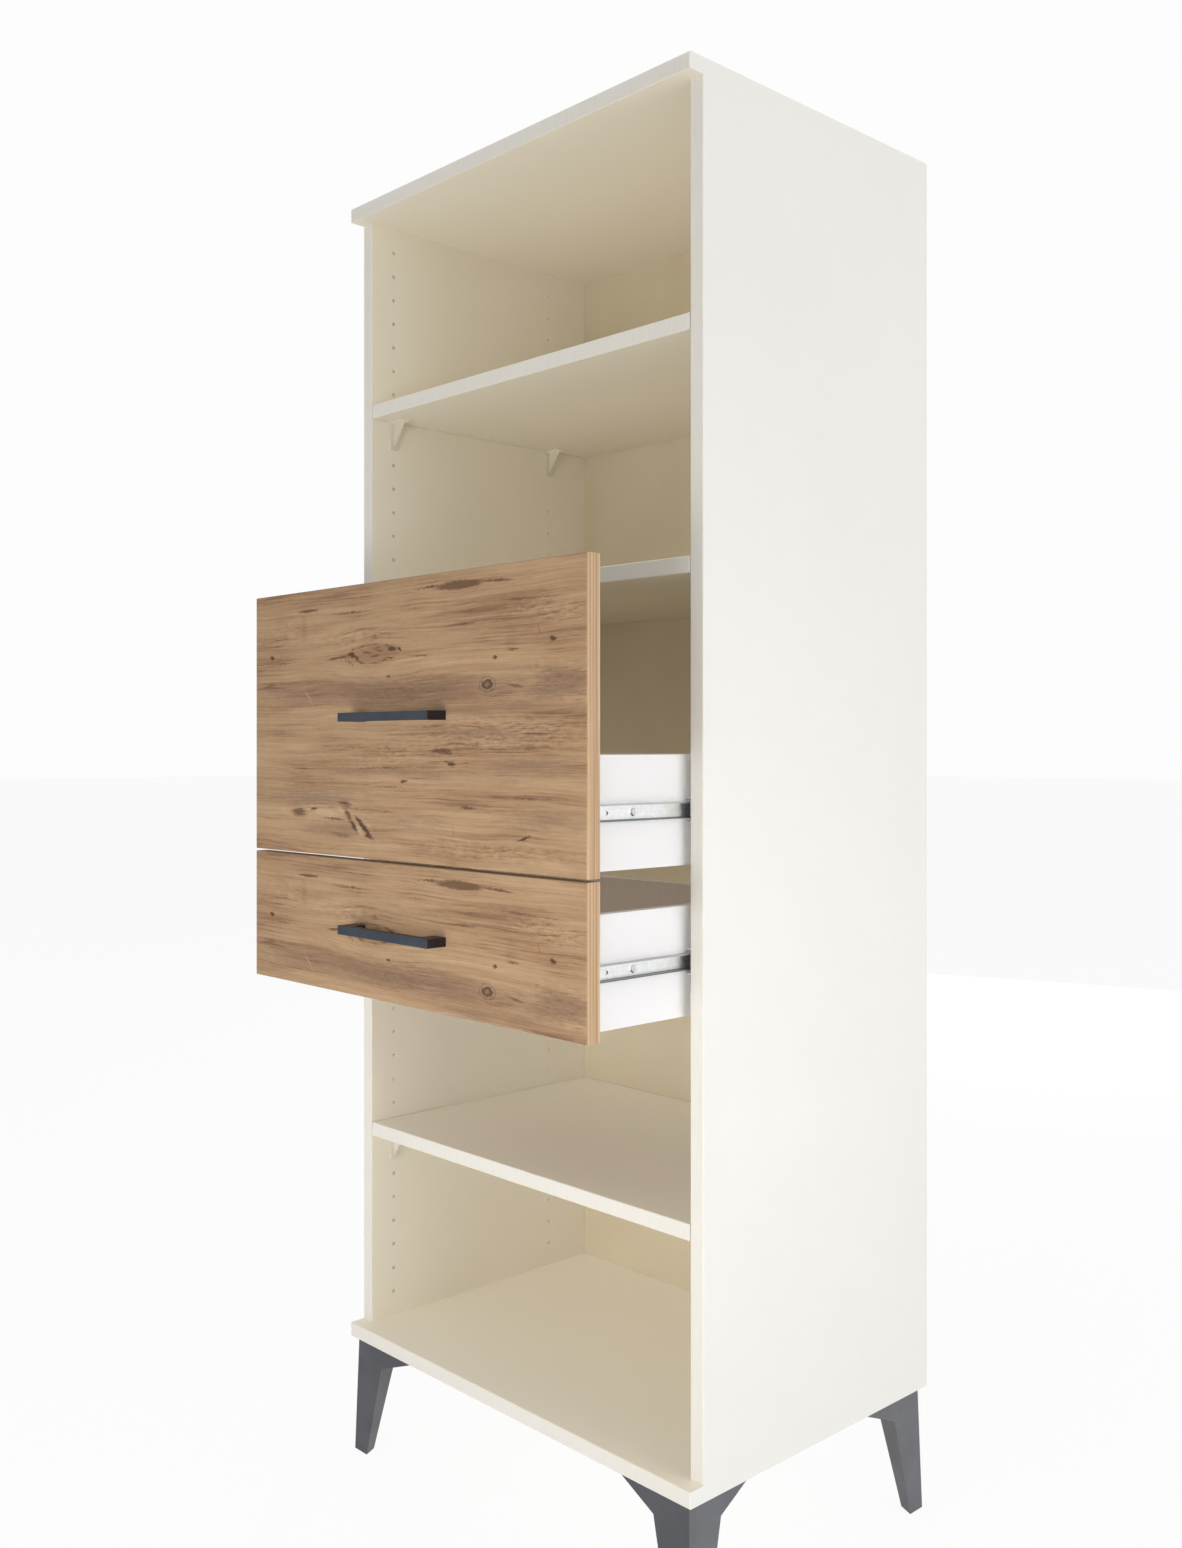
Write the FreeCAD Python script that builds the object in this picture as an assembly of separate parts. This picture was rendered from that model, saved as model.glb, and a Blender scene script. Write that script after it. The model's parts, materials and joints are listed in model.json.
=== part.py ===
import FreeCAD, Part
import math
import os

from FreeCAD import Vector

# Carcass boards
carcass_width = 600.0
side_depth = 419.0
side_height = 1472.0
board_thickness = 18.0
front_overhang = 21.0
edge_chamfer = 0.8
back_thickness = 3.0
back_inset = 16.0
groove_depth = 7.0
groove_clearance = 0.15

# Rows of shelf holes on the inner faces of the sides, one pitch apart
row_pitch = 32.0
row_setback = 37.0
row_rear_setback = 75.0
row_hole_diameter = 5.0
row_hole_depth = 12.0
lower_rows = range(1, 14)

# Loose shelves by the hole their pegs sit in, the upper one by its share of the rest, and their brackets
shelf_side_clearance = 1.0
shelf_back_clearance = 1.0
lower_shelf_pitches = 7
middle_shelf_pitches = 29
upper_shelf_share = 0.47
bracket_width = 13.0
bracket_reach = 25.0
bracket_height = 37.0
bracket_wall = 2.5
bracket_peg_drop = 26.0
bracket_peg_diameter = 4.8
bracket_peg_length = 8.0

# Faceted legs, drawn from the outer corner inwards and from the base board down
leg_height = 150.0
leg_inset = 8.0
leg_splay = 4.0
leg_wing_span = 126.0
leg_wing_setback = 8.0
leg_knee_width = 50.8
leg_knee_drop = 29.0
leg_foot_width = 26.0
leg_inner_share = 0.69
leg_screw_depth = 5.0
leg_screw_pocket_radius = 5.5
leg_screw_shares = ((0.6, 0.27), (0.27, 0.6))

# Drawer fronts and bow handles
front_thickness = 18.0
front_gap = 3.0
front_side_reveal = 1.5
front_drop = 3.5
front_edge_radius = 1.5
lower_front_pitches = 5
upper_front_pitches = 10
handle_length = 166.0
handle_height = 10.0
handle_projection = 26.0
handle_bar_depth = 9.0
handle_foot_width = 20.0
handle_corner_radius = 1.5
handle_grip_radius = 8.0
upper_handle_rise = 4.0
lower_handle_rise = 0.0

# Drawer boxes
box_height = 117.0
box_board_thickness = 12.0
box_back_inset = 9.0
box_bottom_thickness = 3.0
box_bottom_rise = 10.0
box_groove_depth = 6.0
cam_diameter = 15.0
cam_depth = 9.5
cam_setback = 24.0
cam_height_shares = (0.25, 0.75)
cam_bolt_diameter = 6.0
cam_bolt_bite = 11.0
cam_bolt_gap = 0.2
box_screw_height_shares = (0.3, 0.7)

# Ball bearing slides: rail on the carcass, runner on the drawer, cage between; holes counted from the base
slide_space = 10.0
slide_length = 350.0
upper_slide_pitches = 22
lower_slide_pitches = 17
slide_sheet = 1.2
rail_height = 27.0
rail_depth = 8.0
rail_lip = 2.5
rail_setback = 2.0
slide_bend = 1.4
runner_height = 17.0
cage_sheet = 0.8
cage_gap = 0.4
cage_arm_reach = 4.9
cage_end_margin = 2.0
ball_clearance = 0.1
ball_offset = 4.2
ball_length_shares = (0.15, 0.85)
ball_profile_shares = ((0.4, -0.92), (0.98, 0.0), (0.4, 0.92))
rail_screw_shares = (0.1, 0.74)
runner_screw_shares = (0.195, 0.85)
runner_hole_radius = 2.2
runner_hole_share = 0.083

# Travel of the drawers from closed
photo_opening = 148.0
full_opening = 250.0

# Screws: the runners' have pan heads, all others are countersunk
fit_clearance = 0.1
cut_overrun = 30.0
small_round_sides = 8
rail_screw_head_radius = 3.0
slide_screw_shank_radius = 1.75
slide_screw_length = 12.0
runner_screw_head_radius = 4.3
runner_screw_head_height = 2.0
runner_screw_crown_share = 0.75
handle_screw_head_radius = 4.0
handle_screw_head_height = 2.2
handle_screw_shank_radius = 2.0
handle_screw_bite = 9.0
wood_screw_head_radius = 4.0
wood_screw_head_height = 2.4
wood_screw_shank_radius = 2.0
leg_screw_length = 18.0
box_screw_length = 40.0
board_screw_head_radius = 4.8
board_screw_head_height = 3.0
board_screw_shank_radius = 3.0
board_screw_length = 50.0
top_screw_depth_shares = (0.12, 0.88)
base_screw_depth_shares = (0.38, 0.62)

# Places that follow from the sizes
half_width = carcass_width / 2
inner_half_width = half_width - board_thickness
side_rows = round(side_height / row_pitch)
upper_rows = range(middle_shelf_pitches, side_rows)
upper_shelf_row = middle_shelf_pitches + round(upper_shelf_share * (side_rows - middle_shelf_pitches))
base_top = leg_height + board_thickness
top_underside = base_top + side_height
top_surface = top_underside + board_thickness
depth_ahead = front_overhang + photo_opening + handle_projection
front_y = (depth_ahead - side_depth) / 2
rear_y = front_y + side_depth
overhang_y = front_y - front_overhang
back_y = rear_y - back_inset - back_thickness
box_half_width = inner_half_width - slide_space
front_back_y = overhang_y + front_thickness - photo_opening
runner_setback = front_overhang - front_thickness + rail_setback
box_length = runner_setback + slide_length
rail_y = front_y + rail_setback
handle_face_y = front_back_y - front_thickness

left_wall = -inner_half_width
to_right = Vector(1, 0, 0)
to_rear = Vector(0, 1, 0)
upwards = Vector(0, 0, 1)
downwards = Vector(0, 0, -1)


def row_height(row):
    return base_top + row * row_pitch


def row_columns():
    return front_y + row_setback, back_y - row_rear_setback


def block(x_low, x_high, y_low, y_high, z_low, z_high):
    corner = Vector(x_low, y_low, z_low)
    return Part.makeBox(x_high - x_low, y_high - y_low, z_high - z_low, corner)


def edges_of_front(shape, y_face):
    """The edges that lie wholly in the plane of a front face."""
    return [edge for edge in shape.Edges
            if all(abs(vertex.Y - y_face) < fit_clearance for vertex in edge.Vertexes)]


def upright_edges(shape, y_face):
    """Those of its edges that stand upright."""
    return [edge for edge in edges_of_front(shape, y_face)
            if abs(edge.tangentAt(edge.FirstParameter).z) > 0.5]


def board(x_low, x_high, y_low, y_high, z_low, z_high):
    """A panel whose banded front edge is broken by a small chamfer."""
    panel = block(x_low, x_high, y_low, y_high, z_low, z_high)
    return panel.makeChamfer(edge_chamfer, edges_of_front(panel, y_low))


def polygon_face(points):
    return Part.Face(Part.makePolygon(list(points) + [points[0]]))


def ring(radius, height):
    """Corners of a regular outline whose flats touch the circle of that radius."""
    corner_radius = radius / math.cos(math.pi / small_round_sides)
    turns = [2 * math.pi * (n + 0.5) / small_round_sides for n in range(small_round_sides)]
    return [Vector(corner_radius * math.cos(turn), corner_radius * math.sin(turn), height) for turn in turns]


def aim(shape, start, axis):
    shape.Placement = FreeCAD.Placement(start, FreeCAD.Rotation(upwards, axis))
    return shape


def turned(sections):
    """A slim stack of rings, given as (radius, height) from the bottom up, closed into one solid."""
    rings = [ring(radius, height) for radius, height in sections]
    faces = [polygon_face(rings[0][::-1]), polygon_face(rings[-1])]
    for low, high in zip(rings, rings[1:]):
        for n in range(small_round_sides):
            faces.append(polygon_face([low[n - 1], low[n], high[n], high[n - 1]]))
    return Part.Solid(Part.Shell(faces))


def small_round(radius, length, start, axis):
    """A slim rod or its hole, with few flats because there are many of them."""
    return aim(turned([(radius, 0), (radius, length)]), start, axis)


def countersunk(head_radius, head_height, shank_radius, length, start, axis, clearance=0):
    """A screw from its head face along the axis, or with a clearance the hole for it."""
    shank = shank_radius + clearance
    return aim(turned([(head_radius + clearance, 0), (shank, head_height), (shank, length + clearance)]),
               start, axis)


def rail_screw(start, axis, clearance=0):
    return countersunk(rail_screw_head_radius, slide_sheet, slide_screw_shank_radius,
                       slide_screw_length, start, axis, clearance)


def runner_screw(start, axis, clearance=0):
    """A pan head that stands on the runner's web, with its shank."""
    shank = slide_screw_shank_radius + clearance
    if clearance:
        return small_round(shank, slide_screw_length + clearance, start, axis)
    crown = (runner_screw_head_radius * runner_screw_crown_share, -runner_screw_head_height)
    sections = [crown, (runner_screw_head_radius, 0), (shank, 0), (shank, slide_screw_length)]
    return aim(turned(sections), start, axis)


def handle_screw(start, axis, clearance=0):
    return countersunk(handle_screw_head_radius, handle_screw_head_height, handle_screw_shank_radius,
                       front_thickness + handle_screw_bite, start, axis, clearance)


def wood_screw(length, start, axis, clearance=0):
    return countersunk(wood_screw_head_radius, wood_screw_head_height, wood_screw_shank_radius,
                       length, start, axis, clearance)


def board_screw(start, axis, clearance=0):
    return countersunk(board_screw_head_radius, board_screw_head_height, board_screw_shank_radius,
                       board_screw_length, start, axis, clearance)


def mirrored(shape):
    return shape.mirror(Vector(0, 0, 0), to_right)


def both_sides(shapes):
    return list(shapes) + [mirrored(shape) for shape in shapes]


def save(name, shapes):
    solids = shapes if isinstance(shapes, list) else [shapes]
    body = solids[0] if len(solids) == 1 else Part.makeCompound(solids)
    body.exportStep("parts/" + name + ".step")


# Screws of the carcass, written once and used for both the screws and their holes
def top_screws(clearance=0):
    x = inner_half_width + board_thickness / 2
    return [board_screw(Vector(side * x, front_y + share * side_depth, top_surface), downwards, clearance)
            for side in (-1, 1) for share in top_screw_depth_shares]


def base_screws(clearance=0):
    x = inner_half_width + board_thickness / 2
    return [board_screw(Vector(side * x, front_y + share * side_depth, leg_height), upwards, clearance)
            for side in (-1, 1) for share in base_screw_depth_shares]


def rail_screws_left(clearance=0):
    places = [Vector(left_wall + slide_sheet, rail_y + share * slide_length, row_height(row))
              for row in (upper_slide_pitches, lower_slide_pitches) for share in rail_screw_shares]
    return [rail_screw(place, -to_right, clearance) for place in places]


def row_holes_left():
    rows = list(lower_rows) + list(upper_rows)
    places = [Vector(left_wall, y, row_height(row)) for y in row_columns() for row in rows]
    return [small_round(row_hole_diameter / 2, row_hole_depth, place, -to_right) for place in places]


def back_groove(x_half, z_low, z_high):
    """The slot round the inside of the carcass that the back slides into."""
    return block(-x_half, x_half, back_y - groove_clearance, back_y + back_thickness + groove_clearance,
                 z_low, z_high)


def left_side_panel():
    panel = board(-half_width, -inner_half_width, front_y, rear_y, base_top, top_underside)
    groove = back_groove(inner_half_width + groove_depth, base_top, top_underside)
    screws = top_screws(fit_clearance) + base_screws(fit_clearance) + rail_screws_left(fit_clearance)
    return panel.cut([groove] + screws + row_holes_left())


def top_board():
    panel = board(-half_width, half_width, overhang_y, rear_y, top_underside, top_surface)
    groove = back_groove(inner_half_width + groove_depth, top_underside, top_underside + groove_depth)
    return panel.cut([groove] + top_screws(fit_clearance))


def base_board():
    panel = board(-half_width, half_width, overhang_y, rear_y, leg_height, base_top)
    groove = back_groove(inner_half_width + groove_depth, base_top - groove_depth, base_top)
    return panel.cut([groove] + base_screws(fit_clearance) + leg_screws(fit_clearance))


def back_panel():
    reach = groove_depth - groove_clearance
    return block(-inner_half_width - reach, inner_half_width + reach, back_y, back_y + back_thickness,
                 base_top - reach, top_underside + reach)


def shelf_underside(peg_row):
    return row_height(peg_row) + bracket_peg_drop


def shelf(peg_row):
    underside = shelf_underside(peg_row)
    half = inner_half_width - shelf_side_clearance
    return board(-half, half, front_y, back_y - shelf_back_clearance, underside, underside + board_thickness)


def bracket(y_middle, peg_row):
    """One plastic shelf bracket on the left side: two plates, a web between them and a peg."""
    top = shelf_underside(peg_row)
    bottom = top - bracket_height
    y_low = y_middle - bracket_width / 2
    y_high = y_middle + bracket_width / 2
    wall_plate = block(left_wall, left_wall + bracket_wall, y_low, y_high, bottom, top)
    top_plate = block(left_wall, left_wall + bracket_reach, y_low, y_high, top - bracket_wall, top)
    web_start = y_middle - bracket_wall / 2
    web = polygon_face([Vector(left_wall, web_start, top), Vector(left_wall + bracket_reach, web_start, top),
                        Vector(left_wall, web_start, bottom)]).extrude(Vector(0, bracket_wall, 0))
    peg = small_round(bracket_peg_diameter / 2, bracket_peg_length,
                      Vector(left_wall, y_middle, row_height(peg_row)), -to_right)
    return wall_plate.fuse([top_plate, web, peg]).removeSplitter()


def shelf_brackets(peg_row):
    return both_sides([bracket(y, peg_row) for y in row_columns()])


# Legs: one is built at the front left corner and mirrored into the others
def leg_point(u, v, drop):
    lean = leg_splay * drop / leg_height
    return Vector(u - lean, v - lean, -drop)


def leg_solid():
    """A kite that narrows to the foot, under a head that flares out to two tips along the base."""
    top = leg_point(0, 0, 0)
    tip = leg_point(leg_wing_span, leg_wing_setback, 0)
    far_tip = leg_point(leg_wing_setback, leg_wing_span, 0)
    knee = leg_point(leg_knee_width, 0, leg_knee_drop)
    far_knee = leg_point(0, leg_knee_width, leg_knee_drop)
    inner_knee_width = leg_inner_share * leg_knee_width
    inner_knee = leg_point(inner_knee_width, inner_knee_width, leg_knee_drop)
    foot = leg_point(0, 0, leg_height)
    toe = leg_point(leg_foot_width, 0, leg_height)
    far_toe = leg_point(0, leg_foot_width, leg_height)
    heel_width = leg_inner_share * leg_foot_width
    heel = leg_point(heel_width, heel_width, leg_height)
    outlines = (
        (top, tip, far_tip),
        (top, knee, tip),
        (top, far_tip, far_knee),
        (knee, inner_knee, tip),
        (tip, inner_knee, far_tip),
        (far_tip, inner_knee, far_knee),
        (top, foot, toe, knee),
        (top, far_knee, far_toe, foot),
        (knee, toe, heel, inner_knee),
        (far_knee, inner_knee, heel, far_toe),
        (foot, far_toe, heel, toe),
    )
    return Part.Solid(Part.Shell([polygon_face(outline) for outline in outlines]))


def leg_screw_places():
    return [Vector(u_share * leg_wing_span, v_share * leg_wing_span, -leg_screw_depth)
            for u_share, v_share in leg_screw_shares]


def leg_screws_at_origin(clearance=0):
    return [wood_screw(leg_screw_length, place, upwards, clearance) for place in leg_screw_places()]


def leg_at_origin():
    pockets = [small_round(leg_screw_pocket_radius, cut_overrun, place, downwards)
               for place in leg_screw_places()]
    return leg_solid().cut(pockets + leg_screws_at_origin(fit_clearance))


def to_corner(shape, side, end):
    """Takes a shape from the origin's corner to a corner of the base: side -1 left, end -1 front."""
    if side > 0:
        shape = mirrored(shape)
    if end > 0:
        shape = shape.mirror(Vector(0, 0, 0), to_rear)
    y_edge = overhang_y + leg_inset if end < 0 else rear_y - leg_inset
    shape.translate(Vector(side * (half_width - leg_inset), y_edge, leg_height))
    return shape


def leg_screws(clearance=0):
    return [to_corner(screw.copy(), side, end) for side in (-1, 1) for end in (-1, 1)
            for screw in leg_screws_at_origin(clearance)]


# Slides: profiles are drawn across the gap, out from the left wall, and run from front to rear
def channel(x_web, x_mouth, half_height, y_start, lip=0):
    """A folded strip with its web at x_web and its flanges reaching x_mouth, lips turned in by lip."""
    out = 1 if x_mouth > x_web else -1
    bend = out * slide_bend
    sheet = out * slide_sheet
    outside = [(x_web, half_height - slide_bend), (x_web + bend, half_height)]
    inside = [(x_web + sheet, half_height - slide_sheet)]
    if lip:
        outside += [(x_mouth - bend, half_height), (x_mouth, half_height - slide_bend)]
        outside += [(x_mouth, half_height - lip)]
        inside = [(x_mouth - sheet, half_height - lip), (x_mouth - sheet, half_height - slide_sheet)] + inside
    else:
        outside += [(x_mouth, half_height)]
        inside = [(x_mouth, half_height - slide_sheet)] + inside
    upper = outside + inside
    outline = upper + [(x, -z) for x, z in reversed(upper)]
    section = polygon_face([Vector(x, y_start, z) for x, z in outline])
    return section.extrude(Vector(0, slide_length, 0))


def slide_rail(row):
    """The channel on the carcass, with lips that hold the balls in."""
    rail = channel(left_wall, left_wall + rail_depth, rail_height / 2, rail_y, rail_lip)
    rail.translate(Vector(0, 0, row_height(row)))
    return rail.cut(rail_screws_left(fit_clearance))


def runner_start():
    return front_back_y + runner_setback


def runner_screws_left(row, clearance=0):
    x = -box_half_width - slide_sheet
    places = [Vector(x, runner_start() + share * slide_length, row_height(row))
              for share in runner_screw_shares]
    return [runner_screw(place, to_right, clearance) for place in places]


def runner_hole_left(row):
    y = runner_start() + runner_hole_share * slide_length
    place = Vector(-box_half_width - slide_sheet, y, row_height(row))
    return small_round(runner_hole_radius, slide_sheet, place, to_right)


def slide_runner(row):
    """The channel on the drawer, open towards the carcass."""
    mouth_x = left_wall + slide_sheet + cage_gap + cage_sheet + cage_gap
    runner = channel(-box_half_width, mouth_x, runner_height / 2, runner_start())
    runner.translate(Vector(0, 0, row_height(row)))
    return runner.cut(runner_screws_left(row, fit_clearance) + [runner_hole_left(row)])


def race_gap():
    return (rail_height - runner_height) / 2 - slide_sheet


def race_middle():
    return (runner_height + race_gap()) / 2


def cage_length():
    return slide_length - full_opening - 2 * cage_end_margin


def cage_start():
    return rail_y + cage_end_margin + (full_opening - photo_opening) / 2


def ball_places(row):
    x = left_wall + ball_offset
    heights = [row_height(row) - race_middle(), row_height(row) + race_middle()]
    return [Vector(x, cage_start() + share * cage_length(), z)
            for z in heights for share in ball_length_shares]


def slide_balls(row):
    """Balls that roll between the runner's flanges and the rail's, drawn with few flats."""
    radius = race_gap() / 2 - ball_clearance
    profile = [(radius * across, radius * along) for across, along in ball_profile_shares]
    return [aim(turned(profile), place, upwards) for place in ball_places(row)]


def ball_cage(row):
    """The strip between rail and runner; it travels half as far as the drawer."""
    y_low = cage_start()
    y_high = y_low + cage_length()
    x_web = left_wall + slide_sheet + cage_gap
    z_inner = race_middle() - cage_sheet / 2
    z_outer = race_middle() + cage_sheet / 2
    outer = block(x_web, x_web + cage_arm_reach, y_low, y_high, -z_outer, z_outer)
    inner = block(x_web + cage_sheet, x_web + cage_arm_reach, y_low, y_high, -z_inner, z_inner)
    cage = outer.cut(inner)
    cage.translate(Vector(0, 0, row_height(row)))
    pocket_radius = race_gap() / 2
    pockets = [small_round(pocket_radius, 2 * pocket_radius, place - upwards * pocket_radius, upwards)
               for place in ball_places(row)]
    return cage.cut(pockets)


# Drawers: each is built at the opening in the picture, from its slide's row
def box_floor(row):
    return row_height(row) - box_height / 2


def back_of_box_y():
    return front_back_y + box_length - box_back_inset - box_board_thickness


def box_bottom(row):
    z_low = box_floor(row) + box_bottom_rise
    half = box_half_width - box_board_thickness + box_groove_depth - groove_clearance
    reach = box_groove_depth - groove_clearance
    z_high = z_low + box_bottom_thickness
    return block(-half, half, front_back_y - reach, back_of_box_y() + reach, z_low, z_high)


def bottom_groove(row):
    z_low = box_floor(row) + box_bottom_rise - groove_clearance
    z_high = z_low + box_bottom_thickness + 2 * groove_clearance
    half = box_half_width - box_board_thickness + box_groove_depth
    y_low = front_back_y - box_groove_depth
    return block(-half, half, y_low, back_of_box_y() + box_groove_depth, z_low, z_high)


def cams_left(row, clearance=0):
    x_face = -box_half_width + box_board_thickness
    y = front_back_y + cam_setback
    radius = cam_diameter / 2 - fit_clearance + clearance
    return [small_round(radius, cam_depth, Vector(x_face, y, box_floor(row) + share * box_height), -to_right)
            for share in cam_height_shares]


def cam_bolts_left(row, clearance=0):
    x = -box_half_width + box_board_thickness - cam_depth / 2
    length = cam_bolt_bite + cam_setback - cam_diameter / 2 - cam_bolt_gap
    return [small_round(cam_bolt_diameter / 2 + clearance, length + clearance,
                        Vector(x, front_back_y - cam_bolt_bite, box_floor(row) + share * box_height), to_rear)
            for share in cam_height_shares]


def box_screws_left(row, clearance=0):
    y = back_of_box_y() + box_board_thickness / 2
    return [wood_screw(box_screw_length, Vector(-box_half_width, y, box_floor(row) + share * box_height),
                       to_right, clearance)
            for share in box_screw_height_shares]


def box_side_left(row):
    z_low = box_floor(row)
    panel = block(-box_half_width, -box_half_width + box_board_thickness,
                  front_back_y, front_back_y + box_length, z_low, z_low + box_height)
    return panel.cut([bottom_groove(row)] + cams_left(row, fit_clearance) + cam_bolts_left(row, fit_clearance)
                     + box_screws_left(row, fit_clearance) + runner_screws_left(row, fit_clearance))


def box_back(row):
    z_low = box_floor(row)
    half = box_half_width - box_board_thickness
    y_low = back_of_box_y()
    panel = block(-half, half, y_low, y_low + box_board_thickness, z_low, z_low + box_height)
    return panel.cut([bottom_groove(row)] + both_sides(box_screws_left(row, fit_clearance)))


def front_floor(row):
    return box_floor(row) - front_drop


def front_height(pitches):
    return pitches * row_pitch - front_gap


def handle_middle(row, pitches, rise):
    return front_floor(row) + front_height(pitches) / 2 + rise


def handle_screws_of(row, pitches, rise, clearance=0):
    x = (handle_length - handle_foot_width) / 2
    z = handle_middle(row, pitches, rise)
    return [handle_screw(Vector(side * x, front_back_y, z), -to_rear, clearance) for side in (-1, 1)]


def drawer_front(row, pitches, rise):
    z_low = front_floor(row)
    half = half_width - front_side_reveal
    panel = block(-half, half, handle_face_y, front_back_y, z_low, z_low + front_height(pitches))
    panel = panel.makeFillet(front_edge_radius, edges_of_front(panel, handle_face_y))
    bolts = both_sides(cam_bolts_left(row, fit_clearance))
    return panel.cut([bottom_groove(row)] + bolts + handle_screws_of(row, pitches, rise, fit_clearance))


def bow_handle(row, pitches, rise):
    """A square bar bent into a shallow bow, with two wide feet against the front."""
    z_low = handle_middle(row, pitches, rise) - handle_height / 2
    half = handle_length / 2
    outer_y = handle_face_y - handle_projection
    bar = block(-half, half, outer_y, handle_face_y, z_low, z_low + handle_height)
    bar = bar.makeFillet(handle_corner_radius, upright_edges(bar, outer_y))
    grip_half = half - handle_foot_width
    grip_y = outer_y + handle_bar_depth
    grip = block(-grip_half, grip_half, grip_y, handle_face_y, z_low, z_low + handle_height)
    grip = grip.makeFillet(handle_grip_radius, upright_edges(grip, grip_y))
    return bar.cut([grip] + handle_screws_of(row, pitches, rise, fit_clearance))


def save_carcass():
    left_side = left_side_panel()
    save("left_side_panel", left_side)
    save("right_side_panel", mirrored(left_side))
    save("top_board", top_board())
    save("base_board", base_board())
    save("back_panel", back_panel())
    save("top_screws", top_screws())
    save("base_screws", base_screws())
    shelf_rows = {"lower": lower_shelf_pitches, "middle": middle_shelf_pitches, "upper": upper_shelf_row}
    for level, peg_row in shelf_rows.items():
        save(level + "_shelf", shelf(peg_row))
        save(level + "_shelf_brackets", shelf_brackets(peg_row))
    save("leg_screws", leg_screws())
    for end_name, end in (("front", -1), ("rear", 1)):
        for side_name, side in (("left", -1), ("right", 1)):
            save(end_name + "_" + side_name + "_leg", to_corner(leg_at_origin(), side, end))
    save("rail_screws", both_sides(rail_screws_left()))


def save_drawer(level, row, pitches, rise):
    rail = slide_rail(row)
    runner = slide_runner(row)
    cage = ball_cage(row)
    balls = Part.makeCompound(slide_balls(row))
    box_side = box_side_left(row)
    for side_name, turn in (("left", lambda shape: shape), ("right", mirrored)):
        save(level + "_" + side_name + "_slide_rail", turn(rail))
        save(level + "_" + side_name + "_slide_runner", turn(runner))
        save(level + "_" + side_name + "_ball_cage", turn(cage))
        save(level + "_" + side_name + "_slide_balls", turn(balls))
        save(level + "_drawer_" + side_name + "_side", turn(box_side))
    save(level + "_runner_screws", both_sides(runner_screws_left(row)))
    save(level + "_drawer_back", box_back(row))
    save(level + "_drawer_bottom", box_bottom(row))
    save(level + "_drawer_front", drawer_front(row, pitches, rise))
    save(level + "_drawer_cams", both_sides(cams_left(row)))
    save(level + "_drawer_cam_bolts", both_sides(cam_bolts_left(row)))
    save(level + "_drawer_back_screws", both_sides(box_screws_left(row)))
    save(level + "_handle", bow_handle(row, pitches, rise))
    save(level + "_handle_screws", handle_screws_of(row, pitches, rise))


os.makedirs("parts", exist_ok=True)
save_carcass()
save_drawer("upper", upper_slide_pitches, upper_front_pitches, upper_handle_rise)
save_drawer("lower", lower_slide_pitches, lower_front_pitches, lower_handle_rise)
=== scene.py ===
import json
import math

import bpy
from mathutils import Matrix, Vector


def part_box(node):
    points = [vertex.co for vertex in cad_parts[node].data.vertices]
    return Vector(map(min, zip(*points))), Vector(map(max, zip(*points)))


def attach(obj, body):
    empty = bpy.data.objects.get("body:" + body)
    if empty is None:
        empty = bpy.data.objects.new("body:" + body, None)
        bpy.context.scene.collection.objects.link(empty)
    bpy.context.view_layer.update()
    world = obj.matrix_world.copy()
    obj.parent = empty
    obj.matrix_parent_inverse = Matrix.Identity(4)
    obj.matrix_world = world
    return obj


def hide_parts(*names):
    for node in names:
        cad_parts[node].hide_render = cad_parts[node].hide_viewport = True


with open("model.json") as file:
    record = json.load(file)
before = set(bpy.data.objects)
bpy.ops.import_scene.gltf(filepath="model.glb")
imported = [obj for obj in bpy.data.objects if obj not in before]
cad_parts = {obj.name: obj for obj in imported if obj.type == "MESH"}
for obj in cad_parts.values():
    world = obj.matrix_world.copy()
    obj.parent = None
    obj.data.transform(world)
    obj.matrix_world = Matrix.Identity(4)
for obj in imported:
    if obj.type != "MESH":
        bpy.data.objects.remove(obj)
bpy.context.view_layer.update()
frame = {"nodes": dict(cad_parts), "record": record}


def middle(node):
    """The middle of a CAD node's box."""
    low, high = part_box(node)
    return (low + high) / 2


# Places of the bookcase in metres, from the frame: X runs to the right, Y to the rear and Z up
SIDE_LOW, SIDE_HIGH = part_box("right_side_panel")
CARCASS_FRONT = SIDE_LOW.y
SIDE_DEPTH = SIDE_HIGH.y - SIDE_LOW.y
SIDE_MIDDLE = middle("right_side_panel").x
INNER_HALF_WIDTH = SIDE_LOW.x
TOP_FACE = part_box("top_board")[1].z
BASE_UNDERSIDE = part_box("base_board")[0].z
DRAWER_FACE_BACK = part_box("upper_drawer_front")[1].y
BOX_LOW, BOX_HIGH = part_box("upper_drawer_right_side")
BOX_HEIGHT = BOX_HIGH.z - BOX_LOW.z
BOX_BACK_MIDDLE = middle("upper_drawer_back").y
HANDLE_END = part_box("upper_handle")[1].x
RUNNER_LOW, RUNNER_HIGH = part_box("upper_right_slide_runner")
RUNNER_LENGTH = RUNNER_HIGH.y - RUNNER_LOW.y
UPPER_SLIDE = middle("upper_right_slide_runner").z
LOWER_SLIDE = middle("lower_right_slide_runner").z
CAGE_LOW, CAGE_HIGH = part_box("upper_right_ball_cage")
CAGE_LENGTH = CAGE_HIGH.y - CAGE_LOW.y
BALL_OUT = middle("upper_right_slide_balls").x
LEG_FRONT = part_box("front_right_leg")[0].y
LEG_OUTER, LEG_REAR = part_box("rear_right_leg")[1].xy

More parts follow.
